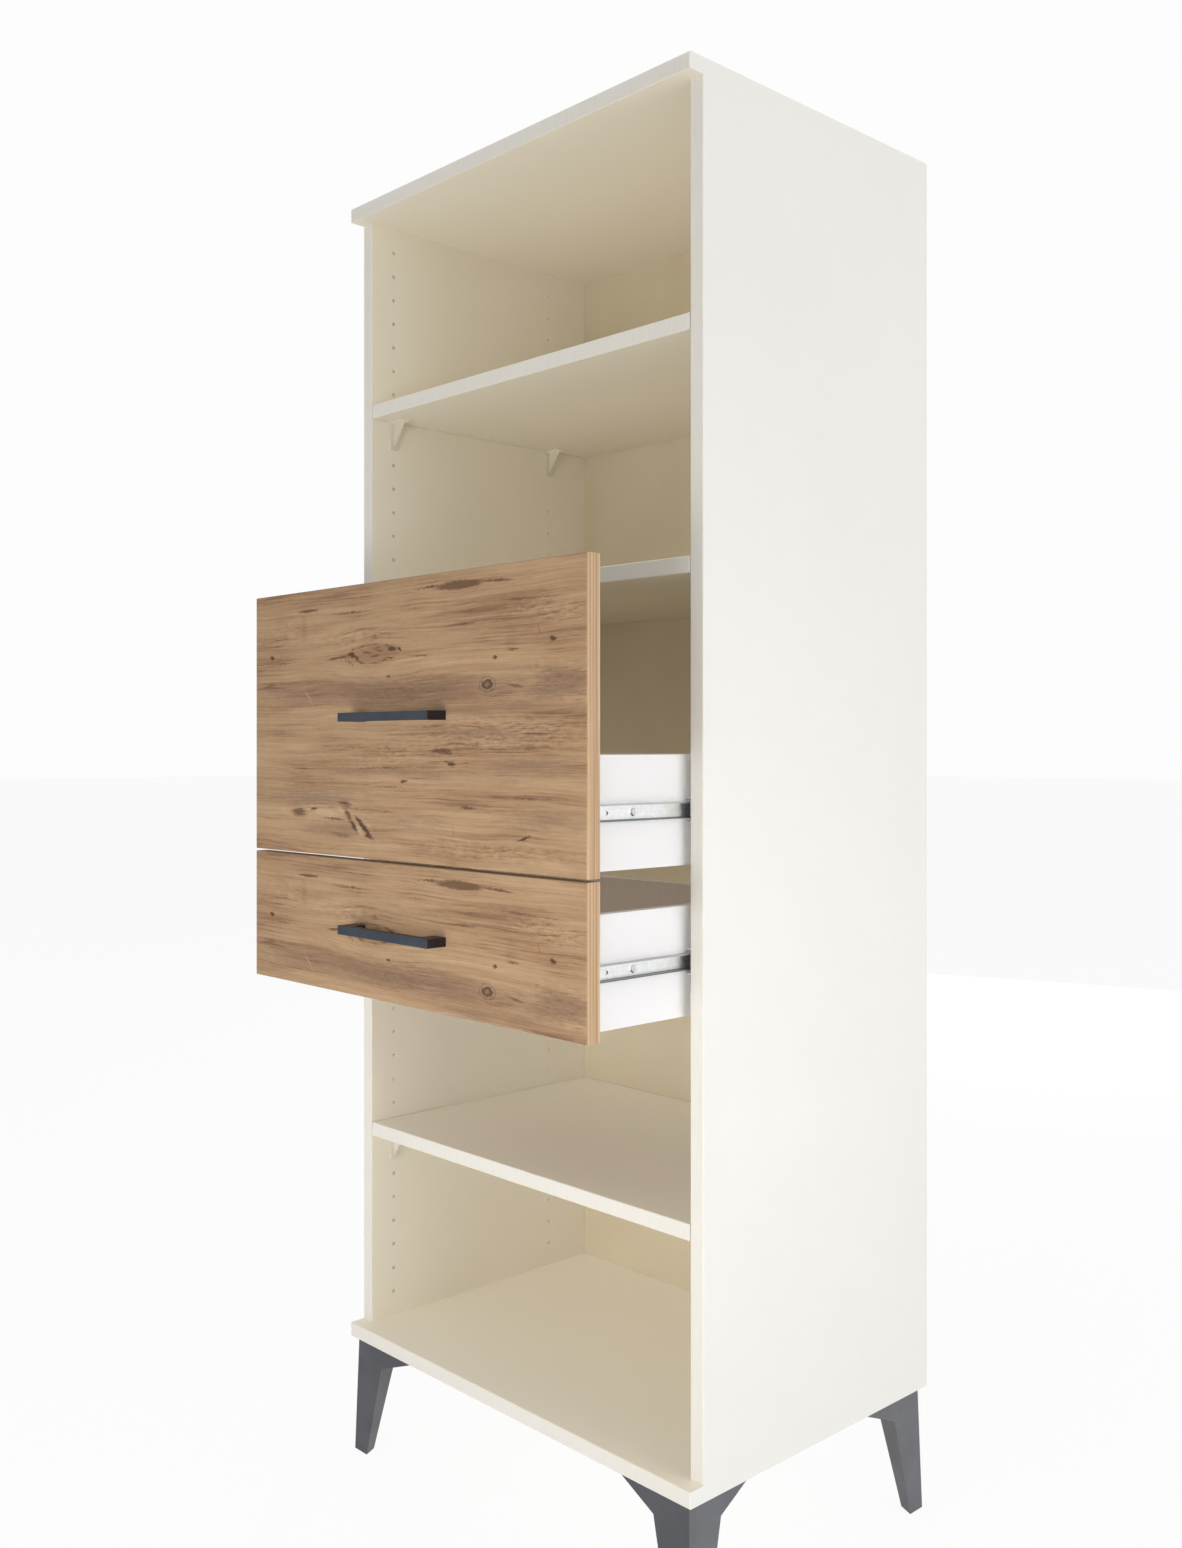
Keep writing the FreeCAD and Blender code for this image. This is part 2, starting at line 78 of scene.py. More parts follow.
# Places of the screws and balls in metres, or as shares of the board or runner that holds them
SLIDE_STEEL = 0.0012
RUNNER_SCREW_SHARES = (0.195, 0.85)
CAM_DEPTH = DRAWER_FACE_BACK + 0.024
CAM_SHARES = (0.25, 0.75)
BACK_SCREW_SHARES = (0.3, 0.7)
HANDLE_SCREW_OUT = HANDLE_END - 0.010
RAIL_SCREW_SETBACKS = (0.037, 0.261)
TOP_SCREW_SHARES = (0.12, 0.88)
BASE_SCREW_SHARES = (0.38, 0.62)
LEG_FLANGE = 0.005
LEG_SCREW_OFFSETS = ((0.0796, 0.03802), (0.03802, 0.0796))
BALL_RADIUS = 0.0018
BALLS_IN_A_ROW = 11
RACE_RISE = 0.0104
# Place and radius of the dark dot painted on each runner as the shade in its hole
RUNNER_HOLE_DEPTH = DRAWER_FACE_BACK + 0.0348
RUNNER_HOLE_RADIUS = 0.0024
LEFT_AND_RIGHT = (-1, 1)
FRONT_AND_REAR = (-1, 1)

# The photograph's frame in pixels, and the camera fitted in it to the corners of the boards
FRAME_WIDTH, FRAME_HEIGHT = 1182, 1548
FOCAL_PIXELS = 1455.155
CENTRE_ACROSS, CENTRE_DOWN = 516.634, 746.915
SENSOR_MM = 36.0
CAMERA_PLACE = (1.298643, CARCASS_FRONT - 1.158083, 0.9384)
CAMERA_TURN_DEGREES = 48.083

# The backdrop: how bright it looks, where 1 is white, and how far its floor reaches in metres
SKY_SEEN = 0.98
FLOOR_GLOW_SHARE = 0.91
FLOOR_REACH = 40.0
WHITE = (1.0, 1.0, 1.0, 1.0)


def tone(red, green, blue):
    """A colour given as screen levels from 0 to 255, turned into light."""
    shares = [level / 255 for level in (red, green, blue)]
    return (*[s / 12.92 if s <= 0.04045 else ((s + 0.055) / 1.055) ** 2.4 for s in shares], 1.0)


class Value:
    """A node's output, which takes part in plain sums, products and quotients."""

    def __init__(self, nodes, socket):
        self.nodes = nodes
        self.socket = socket

    def math(self, operation, first, second):
        return self.nodes.node("ShaderNodeMath", {"operation": operation}, {0: first, 1: second})

    def __add__(self, other):
        return self.math("ADD", self, other)

    def __radd__(self, other):
        return self.math("ADD", other, self)

    def __sub__(self, other):
        return self.math("SUBTRACT", self, other)

    def __rsub__(self, other):
        return self.math("SUBTRACT", other, self)

    def __mul__(self, other):
        return self.math("MULTIPLY", self, other)

    def __rmul__(self, other):
        return self.math("MULTIPLY", other, self)

    def __truediv__(self, other):
        return self.math("DIVIDE", self, other)

    def __rtruediv__(self, other):
        return self.math("DIVIDE", other, self)

    def or_more(self, other):
        return self.math("MAXIMUM", self, other)

    def size(self):
        return self.math("ABSOLUTE", self, 0)


class Nodes:
    """A node tree filled by plain calls, each giving back one output of the new node."""

    def __init__(self, tree):
        self.tree = tree

    def feed(self, target, sockets):
        for key, given in sockets.items():
            for value in given if isinstance(given, list) else [given]:
                if isinstance(value, Value):
                    self.tree.links.new(value.socket, target.inputs[key])
                else:
                    target.inputs[key].default_value = value

    def node(self, kind, settings=None, sockets=None, out=0):
        made = self.tree.nodes.new(kind)
        for name, setting in (settings or {}).items():
            if name == "stops":
                self.set_stops(made.color_ramp, setting)
            else:
                setattr(made, name, setting)
        self.feed(made, sockets or {})
        return Value(self, made.outputs[out]) if made.outputs else None

    @staticmethod
    def set_stops(ramp, stops):
        while len(ramp.elements) < len(stops):
            ramp.elements.new(0.5)
        for element, (place, colour) in zip(ramp.elements, stops):
            element.position = place
            element.color = colour


class Finish(Nodes):
    """One material of the bookcase, a principled surface and what varies over it."""

    def __init__(self, name, sockets):
        self.material = bpy.data.materials.new(name)
        self.material.use_nodes = True
        super().__init__(self.material.node_tree)
        self.surface = self.tree.nodes["Principled BSDF"]
        self.feed(self.surface, sockets)

    def place(self, stretch=(1, 1, 1)):
        """The place on the piece, stretched before a pattern reads it."""
        where = self.node("ShaderNodeTexCoord", out="Object")
        return self.node("ShaderNodeMapping", {}, {"Vector": where, "Scale": stretch})

    def along(self, axis):
        return self.node("ShaderNodeSeparateXYZ", {}, {0: self.place()}, axis)

    def facing(self, axis):
        """How far the surface faces along an axis, from -1 to 1."""
        normal = self.node("ShaderNodeNewGeometry", out="Normal")
        return self.node("ShaderNodeSeparateXYZ", {}, {0: normal}, axis)

    def turned(self, facing):
        """1 where the surface is turned well that way, 0 where it is turned aside."""
        return self.step(facing, 0.5, 0.9)

    def point(self, x, y, z):
        return self.node("ShaderNodeCombineXYZ", {}, {0: x, 1: y, 2: z})

    def noise(self, where, scale=1.0, detail=2.0, roughness=0.5):
        sockets = {"Vector": where, "Scale": scale, "Detail": detail, "Roughness": roughness}
        return self.node("ShaderNodeTexNoise", {}, sockets, "Fac")

    def nearness(self, where, centre, half_sizes, turn=0):
        """1 in the middle of an oval mark, falling to 0 at its rim, with its turn in degrees."""
        local = self.node("ShaderNodeMapping", {"vector_type": "TEXTURE"}, {
            "Vector": where, "Location": (*centre, 0), "Rotation": (0, 0, math.radians(turn)),
            "Scale": (*half_sizes, 1)})
        return self.node("ShaderNodeTexGradient", {"gradient_type": "SPHERICAL"}, {"Vector": local}, "Fac")

    def step(self, value, low, high):
        """A soft step from 0 at low to 1 at high."""
        return self.node("ShaderNodeMapRange", {"interpolation_type": "SMOOTHSTEP"},
                         {"Value": value, "From Min": low, "From Max": high})

    def ramp(self, value, stops):
        return self.node("ShaderNodeValToRGB", {"stops": stops}, {"Fac": value}, "Color")

    def mix(self, share, first, second):
        return self.node("ShaderNodeMix", {"data_type": "RGBA"}, {0: share, 6: first, 7: second}, 2)

    def dim(self, colour, share):
        """A colour made darker or lighter by a share."""
        return self.node("ShaderNodeVectorMath", {"operation": "SCALE"}, {"Vector": colour, "Scale": share})

    def bump(self, height, strength, distance):
        sockets = {"Height": height, "Strength": strength, "Distance": distance}
        return self.node("ShaderNodeBump", {}, sockets, "Normal")

    def show(self, **varied):
        """Feeds what varies over the surface into it and gives back the material."""
        self.feed(self.surface, {name.replace("_", " "): value for name, value in varied.items()})
        return self.material


# Board finishes
def melamine(name, shaded_inner, outer, band):
    """Pressed melamine with a faint pearl texture, its own tones on outer faces and front bands, and a
    warmer, darker tone on inner faces that is painted shade.
    """
    finish = Finish(name, {"Specular IOR Level": 0.4})
    cloud = finish.noise(finish.place(), scale=5.0, detail=3.0) - 0.5
    pearl = finish.noise(finish.place(), scale=900.0)
    flank = finish.step(finish.facing("X") * finish.along("X"), 0.1, 0.2)
    topmost = finish.step(finish.along("Z"), TOP_FACE - 0.0015, TOP_FACE - 0.0005)
    lid = topmost * finish.turned(finish.facing("Z"))
    # Faces not on the outside take the warmer, darker inner tone, which is painted shade of the bays and
    # drawer insides
    board = finish.mix(flank.or_more(lid), shaded_inner, outer)
    front = finish.turned(0 - finish.facing("Y"))
    lines = finish.noise(finish.place((30, 30, 1.5)), scale=20.0) - 0.5
    colour = finish.mix(front, board, band)
    shade = 1 + cloud * 0.05 + front * lines * 0.12
    return finish.show(Base_Color=finish.dim(colour, shade), Roughness=0.38 + 0.16 * pearl,
                       Normal=finish.bump(pearl, strength=0.12, distance=0.0003))


def hardboard(name, face, raw, raw_dark):
    """Thin board, coated inside and raw with pressed fibres on the side away from view."""
    finish = Finish(name, {"Specular IOR Level": 0.3})
    fibre = finish.noise(finish.place((1, 1, 0.35)), scale=620.0, detail=5.0, roughness=0.7)
    cloud = finish.noise(finish.place(), scale=7.0, detail=3.0)
    rear = finish.step(finish.facing("Y").or_more(0 - finish.facing("Z")), 0.4, 0.8)
    rough_side = finish.mix(finish.step(fibre, 0.35, 0.65), raw_dark, raw)
    near_side = finish.mix(cloud * 0.25, face, raw)
    return finish.show(Base_Color=finish.mix(rear, near_side, rough_side),
                       Roughness=0.45 + 0.3 * rear * fibre,
                       Normal=finish.bump(fibre, strength=0.2, distance=0.0002))


# Marks of the pine decor in millimetres: across from the middle, down from the front's top edge,
# half length, half height, turn in degrees, depth
KNOTS = (
    (-89, 82, 12, 5, 12, 0.9), (-80, 86, 8, 4, 40, 0.7), (-13, 78, 13, 4.2, 4, 0.9),
    (1, 79, 7, 3, 18, 0.8), (-17, 88, 15, 2.0, 2, 0.7), (-88, 75.5, 7, 2.2, -20, 0.6),
    (-20, 109, 5.5, 2.8, 4, 0.9), (251, 81, 7, 4.2, 2, 0.9), (164, 96, 5, 2.6, 0, 1.0),
    (-261, 77.5, 7, 3.6, 4, 1.0), (93, 207, 11, 3.6, 4, 1.0), (9, 227, 11, 2.6, -2, 0.9),
    (-67, 281, 30, 4.6, 36, 1.0), (-58, 291, 9, 3.6, 10, 0.9), (-87, 280, 18, 5.5, 44, 0.7),
    (207, 282, 18, 1.8, -18, 0.75), (-168, 263, 10, 2.4, -6, 0.8),
)
STREAKS = (
    (104, 16, 54, 6.5, 0, 1.3), (60, 14, 46, 2.4, -1, 0.8), (168, 16.5, 44, 2.2, 2, 0.8),
    (-180, 24.5, 32, 2.8, 1, 0.95), (-95, 32, 64, 2.6, 1, 0.65), (119, 253, 22, 2.6, 1, 0.75),
    (78, 193, 32, 5, 2, 0.9), (38, 197, 30, 1.6, -2, 0.45), (84, 205, 10, 1.8, 10, 0.7),
    (112, 206, 18, 1.5, -3, 0.6), (-200, 268, 27, 9, 2, 0.8), (-104, 255, 22, 6, 4, 0.8),
    (-98, 268, 18, 7, 50, 0.7), (-128, 273, 42, 2, 2, 0.7), (110, 58, 52, 2.6, -1, 0.6),
    (192, 89, 16, 2.2, -2, 0.65), (220, 175, 60, 2, 1, 0.6), (-70, 73, 22, 1.9, -8, 0.6),
    (-45, 71.5, 20, 1.8, 0, 0.5), (-22, 74, 16, 1.8, 12, 0.6), (-72, 91, 18, 2.2, 14, 0.75),
    (-48, 93, 20, 1.8, 0, 0.6), (-28, 90.5, 18, 1.8, -12, 0.6), (-62, 80, 18, 2.2, 8, 0.75),
    (-46, 85, 22, 1.8, -5, 0.7), (-36, 79, 16, 1.8, 6, 0.7), (-42, 75.5, 16, 1.5, -4, 0.6),
    (-122, 84, 30, 2, -5, 0.9), (-104, 82.5, 16, 2.6, 0, 1.0), (-103, 87, 6, 1.4, 55, 0.7),
    (-97, 89, 7, 1.5, 52, 0.8), (-90, 92, 7, 1.5, 45, 0.8), (-112, 85, 6, 1.2, 50, 0.6),
    (40, 88, 50, 2, 3, 0.5), (-230, 86, 80, 1.6, 0, 0.5), (165, 136, 36, 2, -1, 0.6),
    (195, 126, 26, 2.4, 8, 0.6), (95, 278, 1.6, 16, 0, 0.5), (231, 70, 1.8, 14, 0, 0.4),
    (0, 212, 170, 2, -1, 0.5), (220, 241, 110, 2, 1, 0.5), (-180, 215, 60, 1.8, 0, 0.55),
    (-20, 234, 80, 1.8, 0, 0.5), (200, 38, 130, 1.8, 1, 0.5), (-110, 292, 46, 5, 0, 0.5),
    (-20, 262, 22, 1.8, 0, 0.5), (30, 36, 60, 1.6, 1, 0.4),
)
SMEARS = (
    (-30, 127, 150, 22, 2, 0.9), (-205, 124, 140, 18, 2, 0.6), (90, 129, 140, 22, 0, 0.75),
    (0, 126, 460, 25, 0, 0.75), (240, 132, 90, 16, 0, 0.7), (130, 150, 100, 13, 0, 0.6),
    (264, 124, 60, 20, 6, 1.1), (200, 148, 140, 14, 0, 0.5), (-104, 128, 30, 9, 8, 0.8),
    (-5, 138, 40, 5, -14, 0.7), (130, 174, 150, 13, 1, 0.65), (0, 217, 340, 10, 0, 0.5),
    (-60, 243, 70, 7, 0, 0.4), (-180, 254, 110, 6, -1, 0.65), (0, 4, 340, 9, 0, 0.35),
    (-190, 46, 10, 26, 0, 0.45), (188, 82, 18, 14, 0, 0.45), (-130, 289, 80, 12, 0, 0.5),
    (-170, 250, 160, 20, 0, 0.75), (-110, 284, 120, 16, 0, 0.6), (240, 262, 120, 22, 0, 0.55),
    (210, 207, 140, 16, 0, 0.6), (10, 274, 130, 14, 0, 0.45), (-240, 172, 90, 12, 0, 0.5),
    (200, 218, 120, 14, 0, 0.45),
)
PALE_PLACES = (
    (-140, 266, 38, 7, 2, 0.9), (-160, 259, 66, 2, -2, 0.8), (-112, 263, 14, 5.5, 20, 0.8),
    (-75, 285, 14, 6, 36, 1.0), (-58, 279, 16, 1.8, 36, 0.8), (-180, 128, 26, 2.4, 50, 0.6),
    (-55, 84, 26, 4, 0, 0.35), (-235, 266, 20, 3.4, 0, 0.6), (0, 48, 260, 14, 0, 0.35),
    (60, 96, 240, 6, 0, 0.4), (-60, 300, 220, 7, 0, 0.5),
)
ROUGH_PLACES = (
    (150, 174, 190, 24, 1, 1.0), (262, 124, 80, 26, 4, 1.2), (0, 126, 130, 22, 0, 0.7),
    (250, 53, 80, 14, 4, 0.9), (-90, 60, 90, 16, 0, 0.7), (-20, 192, 90, 22, 0, 0.6),
    (78, 193, 34, 8, 0, 1.0), (-130, 268, 110, 18, 0, 0.6), (160, 298, 160, 12, 0, 0.7),
    (-230, 50, 80, 18, 0, 0.5),
)
EYE_KNOT = (-48, 82, 80, 24)
EYE_SHADE = (-50, 82, 78, 19)
RING_KNOT = (151, 123.5, 15, 9.5)

# Tones of the pine decor, from its dark lines to its pale ones, and of its marks
WOOD_STOPS = (
    (0.05, tone(104, 76, 56)), (0.27, tone(136, 104, 78)), (0.48, tone(163, 131, 100)),
    (0.68, tone(176, 145, 112)), (0.95, tone(190, 161, 129)))
EDGE_STOPS = (
    (0.32, tone(162, 130, 98)), (0.45, tone(190, 158, 124)), (0.55, tone(201, 170, 136)),
    (0.68, tone(219, 191, 157)))
# Painted shadow for the fronts' top and lower edges, where the gap between the drawers lies in shade
PAINTED_GAP_SHADOW = tone(92, 68, 48)
RED_WOOD = tone(163, 124, 92)
YELLOW_WOOD = tone(172, 144, 104)
PALE_WOOD = tone(194, 167, 132)
SMEAR_BROWN = tone(124, 98, 79)
EYE_BROWN = tone(132, 94, 66)
STREAK_BROWN = tone(94, 68, 48)
KNOT_BROWN = tone(68, 46, 31)

# How far the rims of the marks are torn and the grain wanders, in millimetres
TORN_ACROSS, TORN_DOWN = 13, 6.5
GRAIN_WANDER = 12


class PineDecor(Finish):
    """Knotty pine print, in millimetres across from the middle and down from the front's top edge."""

    def __init__(self, name, top):
        super().__init__(name, {"Specular IOR Level": 0.2})
        self.across = self.along("X") * 1000
        self.down = (top - self.along("Z")) * 1000
        self.ragged = self.torn(0.09, 0.3, layer=0)
        jagged = self.torn(0.16, 0.4, layer=5.0)
        self.spot = self.point(self.across + self.ragged * TORN_ACROSS, self.down + jagged * TORN_DOWN, 0)
        self.flow = self.grain_flow()

    def torn(self, across, down, layer):
        """Rough noise for the rims of the marks, its closeness given across and down."""
        where = self.point(self.across * across, layer, self.down * down)
        return self.noise(where, detail=4.0, roughness=0.65) - 0.5

    def mark(self, x, z, half_length, half_height, turn=0):
        return self.nearness(self.spot, (x, z), (half_length, half_height), turn)

    def marks(self, table):
        """The strongest mark of a table at each place."""
        strongest = 0.0
        for x, z, half_length, half_height, turn, depth in table:
            strongest = (self.mark(x, z, half_length, half_height, turn) * depth).or_more(strongest)
        return strongest

    def grain_flow(self):
        """The way down the grain, which wanders a little and parts round the two big knots."""
        wander = self.noise(self.point(self.across * 0.006, 0, self.down * 0.012)) - 0.5
        flow = self.down + wander * GRAIN_WANDER
        for x, z, half_length, half_height in (EYE_KNOT, RING_KNOT):
            parted = self.mark(x, z, half_length * 1.5, half_height * 1.6)
            flow = flow - (self.down - z) * parted * 0.55
        return flow

    def lines(self, length, thickness, layer, detail=3.0):
        """Noise drawn out into lines along the grain, its length and thickness in millimetres."""
        where = self.point(self.across / length, layer, self.flow / thickness)
        return self.noise(where, detail=detail, roughness=0.6) - 0.5

    def veins(self, length, thickness, layer, width):
        """Thin dark lines that run along the grain and close in long lenses."""
        return 1 - self.step(self.lines(length, thickness, layer, detail=1.0).size(), 0.0, width)

    def edge(self):
        """Striped band on the front's edges, with painted shadow of the gap between the fronts darkening
        its top and lower edge.
        """
        where = self.point(self.across * 0.008, self.along("Y") * 480, self.down * 0.003)
        stripes = self.ramp(self.noise(where, detail=3.0), EDGE_STOPS)
        # Edges facing up or down are darkened with painted shadow of the gap between the fronts
        gap_shadow_edge = self.step(self.facing("Z").size(), 0.6, 0.85)
        return self.mix(gap_shadow_edge * 0.6, stripes, PAINTED_GAP_SHADOW)


def pine_decor(name, top):
    """Pine with its grain across, in light and dark zones, with knots, streaks and smears over them."""
    pine = PineDecor(name, top)
    zones = pine.lines(380, 36, layer=8, detail=2.0) + pine.lines(150, 17, layer=9, detail=2.0) * 0.6
    threads = (pine.lines(280, 3.4, layer=0) * 0.7 + pine.lines(110, 1.5, layer=3) * 0.5
               + pine.lines(300, 9, layer=4) * 0.5)
    rough = pine.lines(14, 3.0, layer=2, detail=4.0) * (0.3 + 2.0 * pine.marks(ROUGH_PLACES))
    veined = (pine.veins(360, 13, layer=20, width=0.03) * 0.2
              + pine.veins(240, 7, layer=22, width=0.045) * 0.14)
    faded = pine.step(pine.lines(110, 26, layer=24, detail=2.0), -0.1, 0.2)
    level = 0.57 + zones * 0.95 + threads * 1.1 + rough - veined * faded
    drift = pine.lines(90, 14, layer=12, detail=2.0) + zones * 0.3
    wood = pine.ramp(level, WOOD_STOPS)
    wood = pine.mix(pine.step(0 - drift, 0.02, 0.24) * 0.45, wood, RED_WOOD)
    wood = pine.mix(pine.step(drift, 0.02, 0.24) * 0.4, wood, YELLOW_WOOD)

    grain = pine.lines(45, 2.4, layer=16)
    smears = pine.step(pine.marks(SMEARS) + grain * 0.9 + pine.ragged * 0.4, 0.05, 0.7)
    pale = pine.step(pine.marks(PALE_PLACES) + grain * 0.7, 0.1, 0.7)
    eye = pine.step(pine.mark(*EYE_SHADE) + grain * 0.9, 0.1, 0.7)
    streaks = pine.step(pine.marks(STREAKS) + grain * 0.8, 0.12, 0.6)
    ring = pine.mark(*RING_KNOT)
    rim = pine.step(ring, 0.36, 0.5) * (1 - 0.6 * pine.step(ring, 0.64, 0.8))
    halo = pine.step(ring, 0.05, 0.14) * (1 - pine.step(ring, 0.16, 0.3))
    knots = pine.step(pine.marks(KNOTS) + grain * 0.7, 0.12, 0.55).or_more(rim * 0.9).or_more(halo * 0.45)
    layers = ((smears * 0.66, SMEAR_BROWN), (pale * 0.6, PALE_WOOD), (eye * 0.5, EYE_BROWN),
              (streaks * 0.85, STREAK_BROWN), (knots * 0.88, KNOT_BROWN))
    for share, mark_tone in layers:
        wood = pine.mix(share, wood, mark_tone)

    side = pine.step(pine.facing("X").size().or_more(pine.facing("Z").size()), 0.6, 0.85)
    relief = level * 0.6 - knots * 0.4 - streaks * 0.2
    return pine.show(Base_Color=pine.mix(side, wood, pine.edge()), Roughness=0.5 + 0.14 * level,
                     Normal=pine.bump(relief, strength=0.3, distance=0.0004))


# Metal and plastic finishes
def slate_coat(name):
    """Dark slate powder coat with its fine orange peel, with painted shade making the faces turned from the
    front darker and browner.
    """
    finish = Finish(name, {"Specular IOR Level": 0.2})
    peel = finish.noise(finish.place(), scale=1800.0)
    cloud = finish.step(finish.noise(finish.place(), scale=40.0), 0.3, 0.7)
    face = finish.mix(cloud, tone(47, 53, 62), tone(54, 60, 70))
    # Painted shade: the faces turned from the front get a darker, browner copy of the coat
    flank = finish.mix(cloud, tone(38, 33, 35), tone(45, 40, 42))
    front = finish.turned(0 - finish.facing("Y"))
    return finish.show(Base_Color=finish.mix(front, flank, face), Roughness=0.4 + 0.14 * peel,
                       Normal=finish.bump(peel, strength=0.15, distance=0.0002))


def leg_plastic(name):
    """Moulded grey plastic, with painted shade darkening its front flats and painted light making its
    flanks paler, and scuffed low down.
    """
    finish = Finish(name, {"Specular IOR Level": 0.3})
    grain = finish.noise(finish.place(), scale=1400.0, detail=3.0)
    cloud = finish.step(finish.noise(finish.place(), scale=22.0), 0.3, 0.7)
    scratches = finish.noise(finish.place((1, 1, 3)), scale=120.0, detail=4.0, roughness=0.7)
    low = 1 - finish.step(finish.along("Z"), 0.0, 0.03)
    scuffs = finish.step(scratches, 0.66, 0.74) * low
    aside = finish.facing("X").size().or_more(finish.facing("Z").size())
    # Painted shade on the front flats and painted light on the flanks, by the way each facet faces
    shaded_flat = finish.step(0 - finish.facing("Y"), 0.3, 0.6) * (1 - finish.step(aside, 0.15, 0.35))
    lit_flank_grey = finish.mix(cloud, tone(103, 104, 109), tone(111, 112, 117))
    shaded_flat_grey = finish.mix(cloud, tone(78, 79, 84), tone(85, 86, 91))
    colour = finish.mix(scuffs * 0.5, finish.mix(shaded_flat, lit_flank_grey, shaded_flat_grey), tone(140, 141, 144))
    return finish.show(Base_Color=colour, Roughness=0.5 + 0.14 * grain,
                       Normal=finish.bump(grain, strength=0.2, distance=0.0002))


# Where the painted shade lines in a slide's bends begin and end, in metres above or below its middle
LOWER_BEND = (0.0064, 0.0074)
UPPER_BEND = (0.0072, 0.0080)
BEND_END = (0.0088, 0.0096)
# Grey of the painted shade in a slide's bends and its hole
SHADE_GREY_ZINC = tone(62, 63, 64)


def zinc_steel(name, shade, shine, shade_in_bends=0.0):
    """Zinc plated steel with rolling lines and a soft spangle, with painted shade in a slide's bends and
    its end hole.
    """
    finish = Finish(name, {"Metallic": 1.0})
    rolled = finish.noise(finish.place((700, 6, 700)), detail=3.0)
    spangle = finish.noise(finish.place(), scale=160.0)
    level = rolled * 0.5 + spangle * 0.5
    plating = finish.mix(finish.step(level, 0.3, 0.7), shade, shine)
    half_apart = (UPPER_SLIDE - LOWER_SLIDE) / 2
    rise = finish.node("ShaderNodeMath", {"operation": "WRAP"},
                       {0: finish.along("Z") - UPPER_SLIDE, 1: half_apart, 2: -half_apart})
    hole_shadow = finish.nearness(finish.point(finish.along("Y"), rise, 0), (RUNNER_HOLE_DEPTH, 0),
                           (RUNNER_HOLE_RADIUS, RUNNER_HOLE_RADIUS))
    # Painted shade lines along the bends, and a dark dot painted as the shade in the runner's hole
    bend_shadow = (finish.step(0 - rise, *LOWER_BEND) * 0.85).or_more(finish.step(rise, *UPPER_BEND) * 0.5)
    painted_shade = (bend_shadow * (1 - finish.step(rise.size(), *BEND_END))).or_more(finish.step(hole_shadow, 0.05, 0.3))
    return finish.show(Base_Color=finish.mix(painted_shade * shade_in_bends, plating, SHADE_GREY_ZINC),
                       Roughness=0.24 + 0.22 * level,
                       Normal=finish.bump(rolled, strength=0.08, distance=0.0001))


def milky_plastic(name):
    """Natural plastic that lets some light through."""
    finish = Finish(name, {"Transmission Weight": 0.25, "IOR": 1.46, "Specular IOR Level": 0.5})
    cloud = finish.noise(finish.place(), scale=90.0)
    return finish.show(Base_Color=finish.mix(cloud, tone(245, 239, 224), tone(240, 233, 217)),
                       Roughness=0.3 + 0.15 * cloud,
                       Normal=finish.bump(cloud, strength=0.1, distance=0.0002))


# The inner tones are warmer and darker than the outer ones as painted shade inside the carcass and the
# drawers
FINISHES = {
    "cream_board": melamine("cream_melamine", shaded_inner=tone(235, 228, 212), outer=tone(241, 239, 234),
                            band=tone(232, 228, 218)),
    "white_board": melamine("white_melamine", shaded_inner=tone(238, 232, 224), outer=tone(240, 239, 239),
                            band=tone(234, 222, 210)),
    "thin_board": hardboard("coated_hardboard", face=tone(225, 215, 190), raw=tone(158, 121, 84),
                            raw_dark=tone(128, 94, 62)),
    "clear_plastic": milky_plastic("milky_bracket"),
    "leg_plastic": leg_plastic("grey_leg_plastic"),
    "handle_metal": slate_coat("slate_powder_coat"),
    "slide_steel": zinc_steel("zinc_slide", shade=tone(226, 228, 229), shine=tone(243, 244, 244),
                              shade_in_bends=1.0),
    "fixing_steel": zinc_steel("zinc_fixing", shade=tone(216, 217, 217), shine=tone(234, 234, 233)),
}
FRONT_FINISHES = {
    "upper_drawer_front": pine_decor("pine_upper_front", top=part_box("upper_drawer_front")[1].z),
    "lower_drawer_front": pine_decor("pine_lower_front", top=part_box("lower_drawer_front")[1].z),
}


def dress_cad_nodes():
    slots = {part["node"]: part["material_slot"] for part in frame["record"]["subparts"]}
    for node, cad in frame["nodes"].items():
        material = FRONT_FINISHES.get(node) or FINISHES[slots[node]]
        for place in cad.material_slots:
            place.material = material


# What repeats: screws and cams with a cross recess, and the balls of the slides
def new_tree(name, sizes):
    """An empty geometry tree that takes points, named sizes and a material."""
    tree = bpy.data.node_groups.new(name, "GeometryNodeTree")
    tree.interface.new_socket("Places", in_out="INPUT", socket_type="NodeSocketGeometry")
    for size in sizes:
        tree.interface.new_socket(size, in_out="INPUT", socket_type="NodeSocketFloat")
    tree.interface.new_socket("Metal", in_out="INPUT", socket_type="NodeSocketMaterial")
    tree.interface.new_socket("Pieces", in_out="OUTPUT", socket_type="NodeSocketGeometry")
    nodes = Nodes(tree)
    given = {socket: nodes.node("NodeGroupInput", out=socket) for socket in ("Places", *sizes, "Metal")}
    return nodes, given


def close_tree(nodes, given, instance, rotation):
    """Sets the instance on every point and ends in plain geometry with its metal."""
    placed = nodes.node("GeometryNodeInstanceOnPoints", {},
                        {"Points": given["Places"], "Instance": instance, "Rotation": rotation})
    real = nodes.node("GeometryNodeRealizeInstances", {}, {"Geometry": placed})
    metal = nodes.node("GeometryNodeSetMaterial", {}, {"Geometry": real, "Material": given["Metal"]})
    nodes.node("NodeGroupOutput", {}, {0: metal})
    return nodes.tree


def moved(nodes, shape, height):
    where = nodes.node("ShaderNodeCombineXYZ", {}, {2: height})
    return nodes.node("GeometryNodeTransform", {}, {"Geometry": shape, "Translation": where})


